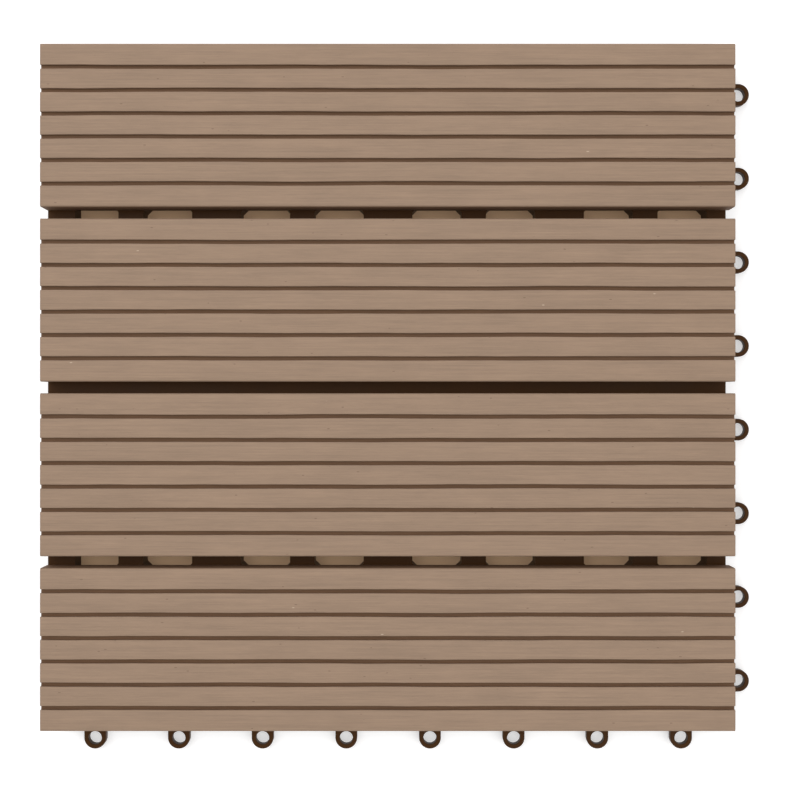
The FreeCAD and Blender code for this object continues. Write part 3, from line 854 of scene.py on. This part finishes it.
def build_screw(bm, sizes, x, y, head_bottom, seat, tip):
    """One screw, head down: the recessed pan head is spun and the shank's rings carry the thread."""
    profile = screw_profile(sizes, head_bottom, seat, tip)
    start = [bm.verts.new((x + radius, y, z)) for radius, z in profile]
    edges = [bm.edges.new(pair) for pair in zip(start, start[1:])]
    bmesh.ops.spin(
        bm, geom=start + edges, cent=(x, y, 0), axis=(0, 0, 1), angle=math.tau, steps=SPIN_STEPS,
        use_merge=True,
    )
    reach = 2 * sizes.head_radius
    own = [vert for vert in bm.verts if math.hypot(vert.co.x - x, vert.co.y - y) < reach]
    bmesh.ops.remove_doubles(bm, verts=own, dist=TOUCHING)
    for vert in bm.verts:
        offset = Vector((vert.co.x - x, vert.co.y - y))
        if not CLOSE < offset.length < reach:
            continue
        turn = math.atan2(offset.y, offset.x)
        grown = offset.length
        share = grown / sizes.recess_radius
        if vert.co.z < seat and LOBES_FROM < share < LOBES_TO:
            grown *= 1.0 + LOBE_SWELL * math.cos(LOBES * turn)
        elif seat + THREAD_LEAD < vert.co.z < tip - THREAD_RUNOUT:
            turns = (vert.co.z - seat) / sizes.thread_pitch - turn / math.tau
            crest = 1.0 - abs(2.0 * (turns % 1.0) - 1.0)
            grown += sizes.thread_height * crest**2
        vert.co.x = x + offset.x / offset.length * grown
        vert.co.y = y + offset.y / offset.length * grown


# Stage


def build_floor(scene, middle, level):
    bm = bmesh.new()
    bmesh.ops.create_grid(bm, x_segments=1, y_segments=1, size=FLOOR_SIZE)
    bmesh.ops.translate(bm, verts=bm.verts[:], vec=(middle.x, middle.y, level))
    mesh = bpy.data.meshes.new("pale_floor")
    bm.to_mesh(mesh)
    bm.free()
    mesh.materials.append(floor_material(scene.deck_tile_finish, scene.deck_tile_sizes))
    floor = bpy.data.objects.new("pale_floor", mesh)
    scene.collection.objects.link(floor)


def build_room(scene):
    """Even light from all round, which a camera or a gloss sees as white."""
    world = bpy.data.worlds.new("Soft room")
    scene.world = world
    world.use_nodes = True
    tree = world.node_tree
    background = tree.nodes["Background"].inputs
    background["Color"].default_value = (1.0, 1.0, 1.0, 1.0)
    feed(tree, between(tree, direct_rays(tree), ROOM_LIGHT, ROOM_SEEN), background["Strength"])


def build_light(scene, name, place, target, size, power):
    lamp = bpy.data.lights.new(name, "AREA")
    lamp.size = size
    lamp.energy = power
    light = bpy.data.objects.new(name, lamp)
    light.location = place
    light.rotation_euler = (target - Vector(place)).to_track_quat("-Z", "Y").to_euler()
    scene.collection.objects.link(light)


def build_camera(scene, low, high, share_of_frame):
    """Looks straight down on the tile, which fills the given share of the picture's width."""
    middle = (low + high) / 2
    lens = bpy.data.cameras.new("overhead_camera")
    lens.lens = 57.0
    lens.sensor_width = 36.0
    camera = bpy.data.objects.new("overhead_camera", lens)
    width = max(high.x - low.x, high.y - low.y) / share_of_frame
    camera.location = (middle.x, middle.y, high.z + width * lens.lens / lens.sensor_width)
    scene.collection.objects.link(camera)
    scene.camera = camera


# Operators


class DECKTILE_OT_slats(bpy.types.Operator):
    """Build the four brushed slats"""

    bl_idname = "deck_tile.slats"
    bl_label = "Slats"

    def execute(self, context):
        sizes = context.scene.deck_tile_sizes
        slat_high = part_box(SLATS[0])[1]
        material = composite_material(context.scene.deck_tile_finish, slat_high.z, slat_high.x)
        for number, node in enumerate(SLATS):
            low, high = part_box(node)
            bm = build_slat(sizes, low, high, number + 1)
            finish_piece(f"brushed_{node}", bm, material, [node])
        return {"FINISHED"}


class DECKTILE_OT_base(bpy.types.Operator):
    """Build the moulded base with its loops, pegs, rails and ribs"""

    bl_idname = "deck_tile.base"
    bl_label = "Base"

    def execute(self, context):
        sizes = context.scene.deck_tile_sizes
        material = plastic_material(context.scene.deck_tile_finish)
        piece = finish_piece("moulded_base", build_base(sizes), material, ["base_grid"])
        flats = piece.modifiers.new("Flats stay flat", "WEIGHTED_NORMAL")
        flats.keep_sharp = True
        return {"FINISHED"}


class DECKTILE_OT_screws(bpy.types.Operator):
    """Build the eight screws that hold the slats"""

    bl_idname = "deck_tile.screws"
    bl_label = "Screws"

    def execute(self, context):
        sizes = context.scene.deck_tile_sizes
        low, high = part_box("slat_screws")
        seat = low.z + sizes.head_height
        bm = bmesh.new()
        for node in SLATS:
            slat_low, slat_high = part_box(node)
            for side in (-1, 1):
                y = (slat_low.y + slat_high.y) / 2
                build_screw(bm, sizes, side * sizes.screw_column, y, low.z, seat, high.z)
        bmesh.ops.recalc_face_normals(bm, faces=bm.faces[:])
        material = steel_material(context.scene.deck_tile_finish)
        finish_piece("threaded_screws", bm, material, ["slat_screws"])
        return {"FINISHED"}


class DECKTILE_OT_stage(bpy.types.Operator):
    """Set up the floor, the soft lights and the camera that looks straight down"""

    bl_idname = "deck_tile.stage"
    bl_label = "Stage"

    def execute(self, context):
        scene = context.scene
        scene.view_settings.view_transform = "Standard"
        middle = (cad_low + cad_high) / 2
        build_floor(scene, middle, cad_low.z - FLOOR_DROP)
        build_room(scene)
        build_light(scene, "key_light", (-0.7, 0.7, 1.6), middle, size=1.4, power=17.0)
        build_light(scene, "fill_light", (0.9, -0.5, 1.4), middle, size=1.6, power=8.5)
        build_camera(scene, cad_low, cad_high, share_of_frame=0.90)
        return {"FINISHED"}


class DECKTILE_PT_sidebar(bpy.types.Panel):
    """Deck tile settings and builders"""

    bl_label = "Deck Tile"
    bl_space_type = "VIEW_3D"
    bl_region_type = "UI"
    bl_category = "Deck Tile"

    def draw(self, context):
        for group in (context.scene.deck_tile_sizes, context.scene.deck_tile_finish):
            box = self.layout.box()
            for name in group.bl_rna.properties.keys():
                if name not in ("rna_type", "name"):
                    box.prop(group, name)
        for operator in OPERATORS:
            self.layout.operator(operator.bl_idname)


OPERATORS = (DECKTILE_OT_slats, DECKTILE_OT_base, DECKTILE_OT_screws, DECKTILE_OT_stage)
CLASSES = (DeckTileSizes, DeckTileFinish, *OPERATORS, DECKTILE_PT_sidebar)


def register():
    for item in CLASSES:
        bpy.utils.register_class(item)
    bpy.types.Scene.deck_tile_sizes = bpy.props.PointerProperty(type=DeckTileSizes)
    bpy.types.Scene.deck_tile_finish = bpy.props.PointerProperty(type=DeckTileFinish)


def unregister():
    del bpy.types.Scene.deck_tile_finish
    del bpy.types.Scene.deck_tile_sizes
    for item in reversed(CLASSES):
        bpy.utils.unregister_class(item)


def main():
    register()
    bpy.ops.deck_tile.slats()
    bpy.ops.deck_tile.base()
    bpy.ops.deck_tile.screws()
    bpy.ops.deck_tile.stage()


if __name__ == "__main__":
    main()
